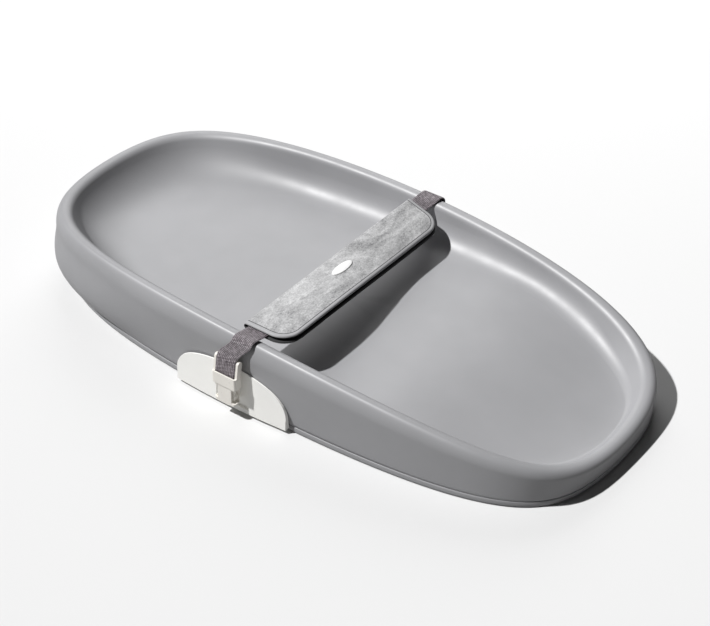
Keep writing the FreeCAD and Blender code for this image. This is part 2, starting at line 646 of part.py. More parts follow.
def belt_path():
    """The belt's centre line: up from the anchor, over both rims, and down to the buckle."""
    middle = BELT_THICKNESS / 2
    bend = EDGE_RADIUS + middle + 2 * GAP
    top_z = BELT_UNDERSIDE + middle
    corner_y = HALF_WIDTH + BELT_RIM_GAP + middle - bend
    corner_z = top_z - bend
    loop = ANCHOR_RADIUS + GAP + middle
    over_bar = LOOP_BAR_RADIUS + GAP + middle
    slot_y = BUCKLE_MIDDLE_Y - COLLAR_DEPTH / 2 + COLLAR_LIP + COLLAR_SLOT / 2
    yz = arc_path(ANCHOR_Y, ANCHOR_Z, loop, -60, -180, 6)
    yz += arc_path(corner_y, corner_z, bend, 0, 90, 5)
    yz += [(corner_y * part / 4, top_z) for part in (3, 2, 1, 0, -1, -2, -3)]
    yz += [(SKEW_START_Y, top_z), (SKEW_START_Y - 8, top_z), (SKEW_START_Y - 16, top_z)]
    yz += arc_path(-corner_y, corner_z, bend, 90, 90 + RIM_LEAVE_ANGLE, 4)
    rim_end = yz[-1]
    bar = arc_path(LOOP_BAR_Y, LOOP_BAR_Z, over_bar, 90 + RIM_LEAVE_ANGLE, 90 + BAR_LEAVE_ANGLE, 2)
    reach_y = bar[0][0] - rim_end[0]
    reach_z = bar[0][1] - rim_end[1]
    for share in (0.2, 0.4, 0.6, 0.8):
        yz.append((rim_end[0] + reach_y * share, rim_end[1] + reach_z * share))
    yz += bar + [(slot_y, COLLAR_TOP + 3), (slot_y, COLLAR_TOP - 7)]
    return [Vector(belt_x(y, z), y, z) for y, z in yz]


def belt_webbing():
    """The safety belt's webbing, in one length."""
    return webbing_solid(belt_path(), BELT_WIDTH)


def belt_stitching():
    """Bar tacks that close the belt's loop just above the anchor pin."""
    tack_width = BELT_WIDTH - 6
    tack_height = 1.2
    loop_y = ANCHOR_Y - ANCHOR_RADIUS - GAP - BELT_THICKNESS / 2
    rim_y = HALF_WIDTH + BELT_RIM_GAP + BELT_THICKNESS / 2
    tacks = []
    for z in (ANCHOR_Z + 20, ANCHOR_Z + 26):
        share = (z - ANCHOR_Z) / (BELT_UNDERSIDE - ANCHOR_Z)
        outer_face = loop_y + (rim_y - loop_y) * share + BELT_THICKNESS / 2
        corner = Vector(-tack_width / 2, outer_face + 0.15, z)
        tacks.append(Part.makeBox(tack_width, 0.5, tack_height, corner))
    return Part.makeCompound(tacks)


# ---------------------------------------------------------------- cover
def round_corner(start, corner, end):
    """A quarter round from start to end; corner is where the two straight edges would have met."""
    centre = start + end - corner
    middle = centre + (corner - centre) * math.sin(math.pi / 4)
    return Part.Arc(start, middle, end).toShape()


def panel_wire(inset, z):
    """The cover's outline: square at the fold, with two round corners on the free side."""
    high_x = COVER_FREE_X - inset
    low_y = COVER_NEAR_Y + inset
    high_y = COVER_FAR_Y - inset
    radius = COVER_CORNER - inset
    edges = [Part.makeLine(Vector(COVER_FOLD_X, low_y, z), Vector(high_x - radius, low_y, z)),
             round_corner(Vector(high_x - radius, low_y, z), Vector(high_x, low_y, z),
                          Vector(high_x, low_y + radius, z)),
             Part.makeLine(Vector(high_x, low_y + radius, z), Vector(high_x, high_y - radius, z)),
             round_corner(Vector(high_x, high_y - radius, z), Vector(high_x, high_y, z),
                          Vector(high_x - radius, high_y, z)),
             Part.makeLine(Vector(high_x - radius, high_y, z), Vector(COVER_FOLD_X, high_y, z)),
             Part.makeLine(Vector(COVER_FOLD_X, high_y, z), Vector(COVER_FOLD_X, low_y, z))]
    return Part.Wire(edges)


def panel_layer(inset, low_z, thickness):
    """One flat layer of the cover."""
    return prism(panel_wire(inset, low_z), thickness)


def layer_heights():
    """Bottom heights of the cover's layers, worked up from the belt."""
    heights = {}
    heights["lower"] = BELT_UNDERSIDE - GAP - LOWER_PANEL_THICKNESS
    heights["loop"] = BELT_UNDERSIDE - GAP
    heights["hook"] = heights["loop"] + HOOK_THICKNESS + 0.1
    heights["lining"] = heights["hook"] + HOOK_THICKNESS
    heights["padding"] = heights["lining"] + LINING_THICKNESS
    heights["fabric"] = heights["padding"] + PADDING_THICKNESS
    heights["top"] = heights["fabric"] + FABRIC_THICKNESS
    return heights


def fastener_strip(low_z):
    """A long strip of touch fastener beyond the belt's edge."""
    start = COVER_FREE_X - BINDING_WIDTH - HOOK_WIDTH - 4.0
    length = COVER_FAR_Y - COVER_NEAR_Y - 2 * COVER_CORNER
    corner = Vector(start, COVER_NEAR_Y + COVER_CORNER, low_z)
    return Part.makeBox(HOOK_WIDTH, length, HOOK_THICKNESS, corner)


def cover_lower_panel():
    """The padded panel under the belt."""
    return panel_layer(0, layer_heights()["lower"], LOWER_PANEL_THICKNESS)


def cover_loop_strip():
    return fastener_strip(layer_heights()["loop"])


def cover_hook_strip():
    return fastener_strip(layer_heights()["hook"])


def cover_lining():
    return panel_layer(BINDING_WIDTH, layer_heights()["lining"], LINING_THICKNESS)


def cover_padding():
    return panel_layer(BINDING_WIDTH, layer_heights()["padding"], PADDING_THICKNESS)


def cover_top_fabric():
    return panel_layer(BINDING_WIDTH, layer_heights()["fabric"], FABRIC_THICKNESS)


def free_side_only(shape):
    """Cut away what lies within a binding's width of the fold, so a ring becomes a rim on three sides."""
    box = shape.BoundBox
    keep = Part.makeBox(COVER_FREE_X - COVER_FOLD_X, box.YLength + 2, box.ZLength + 2,
                        Vector(COVER_FOLD_X + BINDING_WIDTH, box.YMin - 1, box.ZMin - 1))
    return shape.common(keep)


def cover_edge_binding():
    """The bound edge round the three free sides of the upper panel."""
    heights = layer_heights()
    height = heights["top"] - heights["lining"] - 0.6
    inside = panel_layer(BINDING_WIDTH, heights["lining"] - 1, height + 2)
    return free_side_only(panel_layer(0, heights["lining"], height).cut(inside))


def cover_stitching():
    """A raised seam line just inside the upper panel's free edges."""
    z = layer_heights()["top"] + FILM
    inside = panel_layer(SEAM_INSET + SEAM_WIDTH, z - 1, SEAM_RISE + 2)
    return free_side_only(panel_layer(SEAM_INSET, z, SEAM_RISE).cut(inside))


def cover_label():
    """A plain oval badge with no lettering, its length along the belt."""
    centre = Vector(LABEL_X, LABEL_Y, layer_heights()["top"] + FILM)
    oval = Part.Ellipse(centre, LABEL_LENGTH / 2, LABEL_WIDTH / 2)
    wire = Part.Wire([oval.toShape()])
    wire.rotate(centre, Z_AXIS, 90)
    return prism(wire, LABEL_RISE)


def write_all():
    """Write one STEP file for each piece."""
    os.makedirs("parts", exist_ok=True)
    pieces = {
        "foam_body": foam_body(),
        "base_tray": base_tray(),
        "grip_feet": grip_feet(),
        "front_bracket": front_bracket(),
        "rear_bracket": rear_bracket(),
        "rear_anchor_pin": rear_anchor_pin(),
        "bracket_screws": bracket_screws(),
        "buckle_socket": buckle_socket(),
        "socket_screws": socket_screws(),
        "buckle_insert": buckle_insert(),
        "buckle_latch_left": buckle_latch(-1),
        "buckle_latch_right": buckle_latch(1),
        "belt_webbing": belt_webbing(),
        "belt_stitching": belt_stitching(),
        "cover_lower_panel": cover_lower_panel(),
        "cover_loop_strip": cover_loop_strip(),
        "cover_hook_strip": cover_hook_strip(),
        "cover_lining": cover_lining(),
        "cover_padding": cover_padding(),
        "cover_top_fabric": cover_top_fabric(),
        "cover_edge_binding": cover_edge_binding(),
        "cover_stitching": cover_stitching(),
        "cover_label": cover_label(),
    }
    for name, shape in pieces.items():
        shape.exportStep(os.path.join("parts", name + ".step"))
        box = shape.BoundBox
        print(name, shape.isValid(), len(shape.Solids), round(shape.Volume / 1000, 2), "cm3",
              [round(value, 1) for value in (box.XMin, box.XMax, box.YMin, box.YMax, box.ZMin, box.ZMax)])


write_all()
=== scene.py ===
"""Looks for the contoured changing pad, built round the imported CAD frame. Metres throughout."""
import math

import bmesh
import bpy
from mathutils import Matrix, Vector


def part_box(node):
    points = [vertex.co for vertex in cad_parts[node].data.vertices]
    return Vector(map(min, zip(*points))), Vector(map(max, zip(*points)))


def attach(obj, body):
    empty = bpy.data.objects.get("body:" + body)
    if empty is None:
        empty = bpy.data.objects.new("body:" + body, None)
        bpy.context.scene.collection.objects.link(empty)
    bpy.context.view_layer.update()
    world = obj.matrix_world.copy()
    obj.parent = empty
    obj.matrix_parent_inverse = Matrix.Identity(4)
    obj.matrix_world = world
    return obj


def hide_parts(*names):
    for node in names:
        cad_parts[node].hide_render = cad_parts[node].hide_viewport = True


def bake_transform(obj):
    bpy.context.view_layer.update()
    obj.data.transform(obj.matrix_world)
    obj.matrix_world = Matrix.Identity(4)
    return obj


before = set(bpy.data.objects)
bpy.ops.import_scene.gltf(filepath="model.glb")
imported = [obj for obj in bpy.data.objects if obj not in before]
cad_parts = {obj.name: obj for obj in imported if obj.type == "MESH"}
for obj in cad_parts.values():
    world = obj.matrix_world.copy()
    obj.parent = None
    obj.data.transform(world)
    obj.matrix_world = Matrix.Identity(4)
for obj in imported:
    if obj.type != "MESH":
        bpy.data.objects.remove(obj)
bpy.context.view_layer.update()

MM = 0.001

# --- sizes worked out from the frame ---
foam_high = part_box("foam_body")[1]
tray_low, tray_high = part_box("base_tray")
belt_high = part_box("belt_webbing")[1]
pin_low, pin_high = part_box("rear_anchor_pin")
insert_low, insert_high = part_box("buckle_insert")
lower_low, lower_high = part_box("cover_lower_panel")
top_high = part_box("cover_top_fabric")[1]
lining_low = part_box("cover_lining")[0]
label_low, label_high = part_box("cover_label")

HALF_LENGTH = foam_high.x
HALF_WIDTH = foam_high.y
SEAM_HEIGHT = tray_high.z

# --- the basin's shape ---
# Rim heights every 45 degrees round the outline, from the foot's tip to the head's tip.
RIM_HEIGHTS = (32 * MM, 62 * MM, 108.4 * MM, 109.6 * MM, 106.1 * MM)
SQUARENESS_X = 0.0908 * HALF_LENGTH
SQUARENESS_Y = 0.0336 * HALF_WIDTH
EGG_X = 0.0117 * HALF_LENGTH
EGG_Y = 0.0074 * HALF_WIDTH
BASE_INSET_MIDDLE = 8 * MM
BASE_INSET_TAPER = 7 * MM
FOOT_ROUNDING = 35 * MM
HEAD_SWELL = 5 * MM
EDGE_RADIUS = 9 * MM
EDGE_DROP_SHARE = 0.2
CREST_WIDTH = 11 * MM
WALL_SLOPE_SIDE = math.radians(85)
WALL_SLOPE_HEAD = math.radians(60)
WALL_SLOPE_FOOT = math.radians(50)
LIP_RADIUS_SIDE = 9 * MM
LIP_RADIUS_END = 12 * MM
FILLET_SIDE = 36 * MM
FILLET_HEAD = 75 * MM
FILLET_FOOT = 16 * MM
FILLET_TO_DEPTH = 0.9
FLOOR_HEIGHT = 61 * MM
FLOOR_DROP = 37 * MM
FLOOR_FLAT_TO_X = 140 * MM
RING_POINTS = 320
OUTER_WALL_STEPS = 16
EDGE_STEPS = 8
LIP_STEPS = 8
FILLET_STEPS = 16
FLOOR_STEPS = 22
FOAM_COLOUR = (0.34, 0.34, 0.352)
TRAY_TONE = 0.92                                   # the tray is this share of the foam's tone

# --- light and view ---
KEY_STRENGTH = 3.95
KEY_DIRECTION = (0.49, 0.51, -1.0)
KEY_SOFTNESS = math.radians(2.0)
PANEL_STRENGTH = 21.0
PANEL_SIZE = 1.8
PANEL_DISTANCE = 2.5
PANEL_PLACE = (-0.48, 0.64, 0.60)
FILL_STRENGTH = 0.03
FLOOR_SIZE = 6.0
FLOOR_BOUNCE = 0.43                                # the floor's tone as the object sees it
FLOOR_TONE = 0.765                                 # the floor's tone as the camera sees it
VIEW_AZIMUTH = math.radians(36.86)
VIEW_ELEVATION = math.radians(36.66)
VIEW_DISTANCE = 2.404
VIEW_TARGET = (0.0161, 0.0016, 0.040)
VIEW_LENS = 97.8
VIEW_SENSOR = 36.0


# ---------------------------------------------------------------- mesh helpers
def new_object(name, vertices, faces, smooth=True):
    """A mesh object from points and faces."""
    mesh = bpy.data.meshes.new(name)
    mesh.from_pydata([tuple(v) for v in vertices], [], faces)
    mesh.update()
    if smooth:
        mesh.polygons.foreach_set("use_smooth", [True] * len(mesh.polygons))
    piece = bpy.data.objects.new(name, mesh)
    bpy.context.scene.collection.objects.link(piece)
    return piece


def closed_rings(rings, cap_start=True, cap_end=True):
    """Vertices and faces of a tube through closed rings, with a fan over each open end."""
    count = len(rings[0])
    vertices = [point for ring in rings for point in ring]
    faces = []
    for row in range(len(rings) - 1):
        for column in range(count):
            after = (column + 1) % count
            faces.append((row * count + column, row * count + after,
                          (row + 1) * count + after, (row + 1) * count + column))
    for capped, row, flip in ((cap_start, 0, True), (cap_end, len(rings) - 1, False)):
        if not capped:
            continue
        centre = sum((Vector(p) for p in rings[row]), Vector()) / count
        vertices.append(centre)
        middle = len(vertices) - 1
        for column in range(count):
            after = (column + 1) % count
            first, second = (after, column) if flip else (column, after)
            faces.append((row * count + first, row * count + second, middle))
    return vertices, faces


def fix_normals(piece):
    """Turn every face outwards."""
    work = bmesh.new()
    work.from_mesh(piece.data)
    bmesh.ops.recalc_face_normals(work, faces=work.faces)
    work.to_mesh(piece.data)
    work.free()
    piece.data.update()


def set_attribute(piece, name, values):
    """Store one number per vertex for the shader."""
    layer = piece.data.attributes.new(name, "FLOAT", "POINT")
    layer.data.foreach_set("value", values)


def smooth_step(share):
    share = min(1.0, max(0.0, share))
    return share * share * (3 - 2 * share)


# ---------------------------------------------------------------- materials
def new_material(name):
    """A material with a Principled shader; returns its nodes, links and shader."""
    material = bpy.data.materials.new(name)
    material.use_nodes = True
    nodes = material.node_tree.nodes
    return material, nodes, material.node_tree.links, nodes["Principled BSDF"]


def noise_node(nodes, links, coordinates, scale, detail=4.0, roughness=0.55, stretch=None):
    """A noise texture over the given coordinates, stretched along one axis if asked."""
    if stretch is not None:
        mapping = nodes.new("ShaderNodeMapping")
        mapping.inputs["Scale"].default_value = stretch
        links.new(coordinates, mapping.inputs["Vector"])
        coordinates = mapping.outputs["Vector"]
    noise = nodes.new("ShaderNodeTexNoise")
    noise.inputs["Scale"].default_value = scale
    noise.inputs["Detail"].default_value = detail
    noise.inputs["Roughness"].default_value = roughness
    links.new(coordinates, noise.inputs["Vector"])
    return noise.outputs["Fac"]


def ramp_node(nodes, links, factor, stops):
    """A colour ramp through (position, colour) stops."""
    ramp = nodes.new("ShaderNodeValToRGB")
    elements = ramp.color_ramp.elements
    while len(elements) < len(stops):
        elements.new(0.5)
    for element, (position, colour) in zip(elements, stops):
        element.position = position
        element.color = (*colour, 1)
    links.new(factor, ramp.inputs["Fac"])
    return ramp.outputs["Color"]


def range_node(nodes, links, value, low, high, new_low, new_high):
    """Map a value from one range to another."""
    node = nodes.new("ShaderNodeMapRange")
    for label, number in (("From Min", low), ("From Max", high), ("To Min", new_low), ("To Max", new_high)):
        node.inputs[label].default_value = number
    links.new(value, node.inputs["Value"])
    return node.outputs["Result"]


def math_node(nodes, links, operation, first, second):
    """A maths node; each input is a socket or a plain number."""
    node = nodes.new("ShaderNodeMath")
    node.operation = operation
    for socket, value in zip(node.inputs, (first, second)):
        if isinstance(value, (int, float)):
            socket.default_value = value
        else:
            links.new(value, socket)
    return node.outputs["Value"]


def bump_node(nodes, links, height, distance, strength=1.0, normal=None):
    """A bump from a height socket, chained onto an earlier normal if given."""
    bump = nodes.new("ShaderNodeBump")
    bump.inputs["Distance"].default_value = distance
    bump.inputs["Strength"].default_value = strength
    links.new(height, bump.inputs["Height"])
    if normal is not None:
        links.new(normal, bump.inputs["Normal"])
    return bump.outputs["Normal"]


def mix_colours(nodes, links, factor, first, second):
    """Mix two colours; each is a socket or a plain colour."""
    mix = nodes.new("ShaderNodeMix")
    mix.data_type = "RGBA"
    links.new(factor, mix.inputs["Factor"])
    for label, value in (("A", first), ("B", second)):
        socket = next(s for s in mix.inputs if s.name == label and s.type == "RGBA")
        if isinstance(value, tuple):
            socket.default_value = (*value, 1)
        else:
            links.new(value, socket)
    return next(s for s in mix.outputs if s.type == "RGBA")


def object_coordinates(nodes):
    return nodes.new("ShaderNodeTexCoord").outputs["Object"]


def skinned_foam_material(name, colour, roughness=0.46):
    """Moulded polyurethane skin: satin, with a fine leathery grain and faint blotches."""
    material, nodes, links, shader = new_material(name)
    where = object_coordinates(nodes)
    blotches = noise_node(nodes, links, where, 9.0, detail=3.0)
    darker = tuple(c * 0.95 for c in colour)
    lighter = tuple(c * 1.05 for c in colour)
    links.new(ramp_node(nodes, links, blotches, [(0.3, darker), (0.7, lighter)]), shader.inputs["Base Color"])
    patches = noise_node(nodes, links, where, 40.0)
    rough = range_node(nodes, links, patches, 0.3, 0.7, roughness - 0.03, roughness + 0.03)
    links.new(rough, shader.inputs["Roughness"])
    pores = nodes.new("ShaderNodeTexVoronoi")
    pores.inputs["Scale"].default_value = 900.0
    links.new(where, pores.inputs["Vector"])
    grain = bump_node(nodes, links, pores.outputs["Distance"], 0.06 * MM, 0.5)
    fine = noise_node(nodes, links, where, 1500.0, detail=2.0)
    links.new(bump_node(nodes, links, fine, 0.05 * MM, 0.5, grain), shader.inputs["Normal"])
    shader.inputs["IOR"].default_value = 1.5
    shader.inputs["Specular IOR Level"].default_value = 0.75
    return material


def moulded_plastic_material(name, colour, roughness, grain=0.02 * MM, painted_glow=0.0):
    """Injection-moulded plastic with a faint texture, plus an emission in its own colour: a painted glow that
    brightens the plastic though it is no lamp.
    """
    material, nodes, links, shader = new_material(name)
    # Emission in the plastic's own colour: painted glow, not a lamp.
    shader.inputs["Emission Color"].default_value = (*colour, 1)
    shader.inputs["Emission Strength"].default_value = painted_glow
    where = object_coordinates(nodes)
    tone = noise_node(nodes, links, where, 30.0, detail=2.0)
    darker = tuple(c * 0.97 for c in colour)
    links.new(ramp_node(nodes, links, tone, [(0.35, darker), (0.65, colour)]), shader.inputs["Base Color"])
    rough = noise_node(nodes, links, where, 160.0)
    links.new(range_node(nodes, links, rough, 0.3, 0.7, roughness - 0.04, roughness + 0.04),
              shader.inputs["Roughness"])
    fine = noise_node(nodes, links, where, 2200.0, detail=2.0)
    links.new(bump_node(nodes, links, fine, grain, 0.6), shader.inputs["Normal"])
    return material


def rubber_material(name, colour):
    """Dull rubber with a fine moulded speckle."""
    return moulded_plastic_material(name, colour, 0.75, 0.08 * MM)


def steel_material(name):
    """Plated steel with fine turning marks."""
    material, nodes, links, shader = new_material(name)
    where = object_coordinates(nodes)
    marks = noise_node(nodes, links, where, 700.0, stretch=(0.05, 1.0, 1.0))
    links.new(range_node(nodes, links, marks, 0.3, 0.7, 0.25, 0.45), shader.inputs["Roughness"])
    links.new(ramp_node(nodes, links, marks, [(0.2, (0.5, 0.5, 0.52)), (0.8, (0.62, 0.62, 0.64))]),
              shader.inputs["Base Color"])
    shader.inputs["Metallic"].default_value = 1.0
    links.new(bump_node(nodes, links, marks, 0.02 * MM, 0.5), shader.inputs["Normal"])
    return material


def webbing_material(name):
    """Woven nylon: slanted ribs across the width, dark purple-grey; the rib crowns are painted paler as a
    painted highlight and the grooves near black as painted shade, over random fuzz.
    """
    material, nodes, links, shader = new_material(name)
    along = nodes.new("ShaderNodeAttribute")
    along.attribute_name = "along"
    across = nodes.new("ShaderNodeAttribute")
    across.attribute_name = "across"
    rib_pitch = 1.9 * MM
    cord_pitch = 2.4 * MM
    rib_phase = math_node(nodes, links, "MULTIPLY", along.outputs["Fac"], 2 * math.pi / rib_pitch)
    cord_phase = math_node(nodes, links, "MULTIPLY", across.outputs["Fac"], 2 * math.pi / cord_pitch)
    slant = math_node(nodes, links, "ADD", rib_phase, math_node(nodes, links, "MULTIPLY", cord_phase, 0.6))
    ribs = math_node(nodes, links, "SINE", slant, 0.0)
    cords = math_node(nodes, links, "COSINE", cord_phase, 0.0)
    weave = math_node(nodes, links, "ADD", math_node(nodes, links, "MULTIPLY", ribs, 0.6),
                      math_node(nodes, links, "MULTIPLY", cords, 0.4))
    # The rib pattern used as colour: painted highlight on the crowns, painted shade in the grooves.
    painted_rib_light = range_node(nodes, links, weave, -1.0, 1.0, 0.0, 1.0)
    where = object_coordinates(nodes)
    fuzz = noise_node(nodes, links, where, 260.0, detail=4.0, roughness=0.8)
    mixed = math_node(nodes, links, "ADD", math_node(nodes, links, "MULTIPLY", painted_rib_light, 0.4),
                      math_node(nodes, links, "MULTIPLY", fuzz, 0.6))
    # Near black for the grooves' painted shade, up to pale for the crowns' painted highlight, mixed with the
    # fuzz's random tone.
    stops = [(0.34, (0.02, 0.015, 0.018)), (0.46, (0.08, 0.063, 0.072)), (0.56, (0.21, 0.18, 0.2)),
             (0.7, (0.55, 0.5, 0.53))]
    links.new(ramp_node(nodes, links, mixed, stops), shader.inputs["Base Color"])
    shader.inputs["Roughness"].default_value = 0.42
    shader.inputs["Sheen Weight"].default_value = 0.3
    shader.inputs["Sheen Roughness"].default_value = 0.4
    height = bump_node(nodes, links, weave, 0.3 * MM, 0.9)
    links.new(bump_node(nodes, links, fuzz, 0.15 * MM, 0.6, height), shader.inputs["Normal"])
    return material


def felt_colour(nodes, links, where):
    """Heathered light grey: fine fibres over brushed strokes that drift across the cloth."""
    fibres = noise_node(nodes, links, where, 560.0, detail=5.0, roughness=0.8, stretch=(1.0, 0.6, 1.0))
    strokes = nodes.new("ShaderNodeTexNoise")
    for label, number in (("Scale", 30.0), ("Detail", 7.0), ("Roughness", 0.68), ("Distortion", 1.6)):
        strokes.inputs[label].default_value = number
    mapping = nodes.new("ShaderNodeMapping")
    mapping.inputs["Rotation"].default_value = (0, 0, math.radians(35))
    mapping.inputs["Scale"].default_value = (1.0, 0.4, 1.0)
    links.new(where, mapping.inputs["Vector"])
    links.new(mapping.outputs["Vector"], strokes.inputs["Vector"])
    mixed = math_node(nodes, links, "ADD", math_node(nodes, links, "MULTIPLY", fibres, 0.48),
                      math_node(nodes, links, "MULTIPLY", strokes.outputs["Fac"], 0.52))
    stops = [(0.38, (0.17, 0.17, 0.175)), (0.46, (0.36, 0.36, 0.365)), (0.53, (0.51, 0.51, 0.515)),
             (0.62, (0.70, 0.70, 0.705))]
    return ramp_node(nodes, links, mixed, stops), fibres


def cover_material(name):
    """Heathered felt, with a smooth lighter lip outside the seam and a near-black line along the seam:
    painted shade of the seam's groove.
    """
    material, nodes, links, shader = new_material(name)
    where = object_coordinates(nodes)
    colour, fibres = felt_colour(nodes, links, where)
    edge = nodes.new("ShaderNodeAttribute")
    edge.attribute_name = "edge"
    inside = range_node(nodes, links, edge.outputs["Fac"],
                        SEAM_INSET - 0.3 * MM, SEAM_INSET + 0.1 * MM, 0.0, 1.0)
    body = mix_colours(nodes, links, inside, (0.40, 0.40, 0.41), colour)
    # A near-black line painted along the seam: painted shade of the seam's groove.
    away = math_node(nodes, links, "ABSOLUTE",
                     math_node(nodes, links, "SUBTRACT", edge.outputs["Fac"], SEAM_INSET), 0.0)
    line = range_node(nodes, links, away, 0.35 * MM, 0.75 * MM, 1.0, 0.0)
    links.new(mix_colours(nodes, links, line, body, (0.035, 0.035, 0.038)), shader.inputs["Base Color"])
    links.new(range_node(nodes, links, inside, 0.0, 1.0, 0.55, 0.95), shader.inputs["Roughness"])
    shader.inputs["Sheen Weight"].default_value = 0.25
    pile = bump_node(nodes, links, fibres, 0.25 * MM, 0.6)
    links.new(pile, shader.inputs["Normal"])
    return material


def lining_material(name, colour):
    """Plain woven lining."""
    material, nodes, links, shader = new_material(name)
    where = object_coordinates(nodes)
    weave = nodes.new("ShaderNodeTexChecker")
    weave.inputs["Scale"].default_value = 1400.0
    links.new(where, weave.inputs["Vector"])
    yarn = noise_node(nodes, links, where, 600.0)
    darker = tuple(c * 0.7 for c in colour)
    links.new(ramp_node(nodes, links, yarn, [(0.3, darker), (0.7, colour)]), shader.inputs["Base Color"])
    shader.inputs["Roughness"].default_value = 0.85
    links.new(bump_node(nodes, links, weave.outputs["Fac"], 0.08 * MM, 0.5), shader.inputs["Normal"])
    return material


def thread_material(name, colour):
    """Twisted sewing thread."""
    material, nodes, links, shader = new_material(name)
    where = object_coordinates(nodes)
    twist = noise_node(nodes, links, where, 2600.0, stretch=(1.0, 1.0, 0.3))
    darker = tuple(c * 0.6 for c in colour)
    links.new(ramp_node(nodes, links, twist, [(0.3, darker), (0.7, colour)]), shader.inputs["Base Color"])
    shader.inputs["Roughness"].default_value = 0.6
    links.new(bump_node(nodes, links, twist, 0.08 * MM, 0.8), shader.inputs["Normal"])
    return material


def paint(piece, material):
    """Give a piece one material."""
    piece.data.materials.clear()
    piece.data.materials.append(material)


# ---------------------------------------------------------------- basin shape
def outline_x(angle):
    main = HALF_LENGTH + SQUARENESS_X
    return main * math.cos(angle) - EGG_X * (math.cos(2 * angle) - 1) - SQUARENESS_X * math.cos(3 * angle)


def outline_y(angle):
    main = HALF_WIDTH + SQUARENESS_Y
    return main * math.sin(angle) - EGG_Y * math.sin(2 * angle) + SQUARENESS_Y * math.sin(3 * angle)


def rim_height(angle):
    """Smooth cosine series through the named rim heights."""
    last = len(RIM_HEIGHTS) - 1
    total = 0.0
    for order in range(last + 1):
        coefficient = 0.0
        for station, height in enumerate(RIM_HEIGHTS):
            weight = 0.5 if station in (0, last) else 1.0
            coefficient += weight * height * math.cos(math.pi * station * order / last)
        share = 1.0 if order in (0, last) else 2.0
        total += share * coefficient / last * math.cos(order * angle)
    return total


def floor_height(x):
    return FLOOR_HEIGHT - FLOOR_DROP * smooth_step((x - FLOOR_FLAT_TO_X) / (HALF_LENGTH - FLOOR_FLAT_TO_X))


def base_inset(x):
    return BASE_INSET_MIDDLE - BASE_INSET_TAPER * x / HALF_LENGTH


def inset_point(angle, inset, z):
    x = outline_x(angle) * (1 - inset / HALF_LENGTH)
    y = outline_y(angle) * (1 - inset / HALF_WIDTH)
    return Vector((x, y, z))


def wall_shape(angle):
    """Slope, lip radius, fillet radius, straight length and floor height of the inner wall at one place."""
    x = outline_x(angle)
    end_share = smooth_step((abs(x) / HALF_LENGTH - 0.45) / 0.55)
    end_slope = WALL_SLOPE_FOOT if x > 0 else WALL_SLOPE_HEAD
    end_fillet = FILLET_FOOT if x > 0 else FILLET_HEAD
    steepest = WALL_SLOPE_SIDE + (end_slope - WALL_SLOPE_SIDE) * end_share
    lip = LIP_RADIUS_SIDE + (LIP_RADIUS_END - LIP_RADIUS_SIDE) * end_share
    fillet = FILLET_SIDE + (end_fillet - FILLET_SIDE) * end_share
    foot_x = x * (1 - (CREST_WIDTH + lip + fillet) / HALF_LENGTH)
    floor = floor_height(foot_x)
    depth = rim_height(angle) - floor
    if x > 0:
        fillet = min(fillet, FILLET_TO_DEPTH * depth)
    slope = min(steepest, math.acos(1 - min(1.0, depth / (lip + fillet))))
    straight = max(0.0, (depth - (lip + fillet) * (1 - math.cos(slope))) / math.sin(slope))
    return slope, lip, fillet, straight, floor


def outer_wall_point(angle, share):
    """A point on the outer wall, from the seam (0) to the start of the rolled edge (1).

    The wall is straight along the sides; round the head end it swells out above a rounded foot.
    """
    x = outline_x(angle)
    foot = base_inset(x)
    rise = (rim_height(angle) * (1 - EDGE_DROP_SHARE) - SEAM_HEIGHT) * share
    straight = foot * (1 - share)
    swell = HEAD_SWELL * max(0.0, math.sin(math.pi * share)) ** 1.5
    rounded = foot * max(0.0, 1 - rise / FOOT_ROUNDING) ** 2 - swell
    head = smooth_step((-x / HALF_LENGTH - 0.3) / 0.4)
    return inset_point(angle, straight + (rounded - straight) * head, SEAM_HEIGHT + rise)


def basin_profile(angle):
    """Points from the seam up the outer wall, over the crest, down the inner wall and across the floor."""
    crest = rim_height(angle)
    foot = base_inset(outline_x(angle))
    points = [inset_point(angle, foot + 4.0 * MM, SEAM_HEIGHT + 0.3 * MM)]
    for inset, lift in ((1.2 * MM, 0.3 * MM), (0.3 * MM, 0.6 * MM)):
        points.append(inset_point(angle, foot + inset, SEAM_HEIGHT + lift))
    for step in range(1, OUTER_WALL_STEPS):
        points.append(outer_wall_point(angle, step / OUTER_WALL_STEPS))
    for step in range(EDGE_STEPS + 1):
        turn = math.pi / 2 * step / EDGE_STEPS
        points.append(inset_point(angle, EDGE_RADIUS * (1 - math.cos(turn)),
                                  crest * (1 - EDGE_DROP_SHARE * (1 - math.sin(turn)))))
    points.append(inset_point(angle, (EDGE_RADIUS + CREST_WIDTH) / 2, crest))
    slope, lip, fillet, straight, floor = wall_shape(angle)
    for step in range(LIP_STEPS + 1):
        turn = slope * step / LIP_STEPS
        points.append(inset_point(angle, CREST_WIDTH + lip * math.sin(turn),
                                  crest - lip * (1 - math.cos(turn))))
    run = (lip + fillet) * math.sin(slope) + straight * math.cos(slope)
    for step in range(1, FILLET_STEPS + 1):
        turn = slope * (1 - step / FILLET_STEPS)
        points.append(inset_point(angle, CREST_WIDTH + run - fillet * math.sin(turn),
                                  floor + fillet * (1 - math.cos(turn))))
    start = points[-1]
    for step in range(1, FLOOR_STEPS):
        share = step / FLOOR_STEPS
        x = start.x * (1 - share)
        y = start.y * (1 - share)
        settle = (start.z - floor_height(start.x)) * (1 - share)
        points.append(Vector((x, y, floor_height(x) + settle)))
    return points


def build_basin():
    """The skinned foam body, as one closed mesh."""
    profiles = [basin_profile(2 * math.pi * step / RING_POINTS) for step in range(RING_POINTS)]
    rings = [[profile[row] for profile in profiles] for row in range(len(profiles[0]))]
    basin = new_object("pad_basin", *closed_rings(rings))
    fix_normals(basin)
    paint(basin, skinned_foam_material("foam_skin", FOAM_COLOUR))
    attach(basin, "pad")
    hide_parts("foam_body")
    return basin


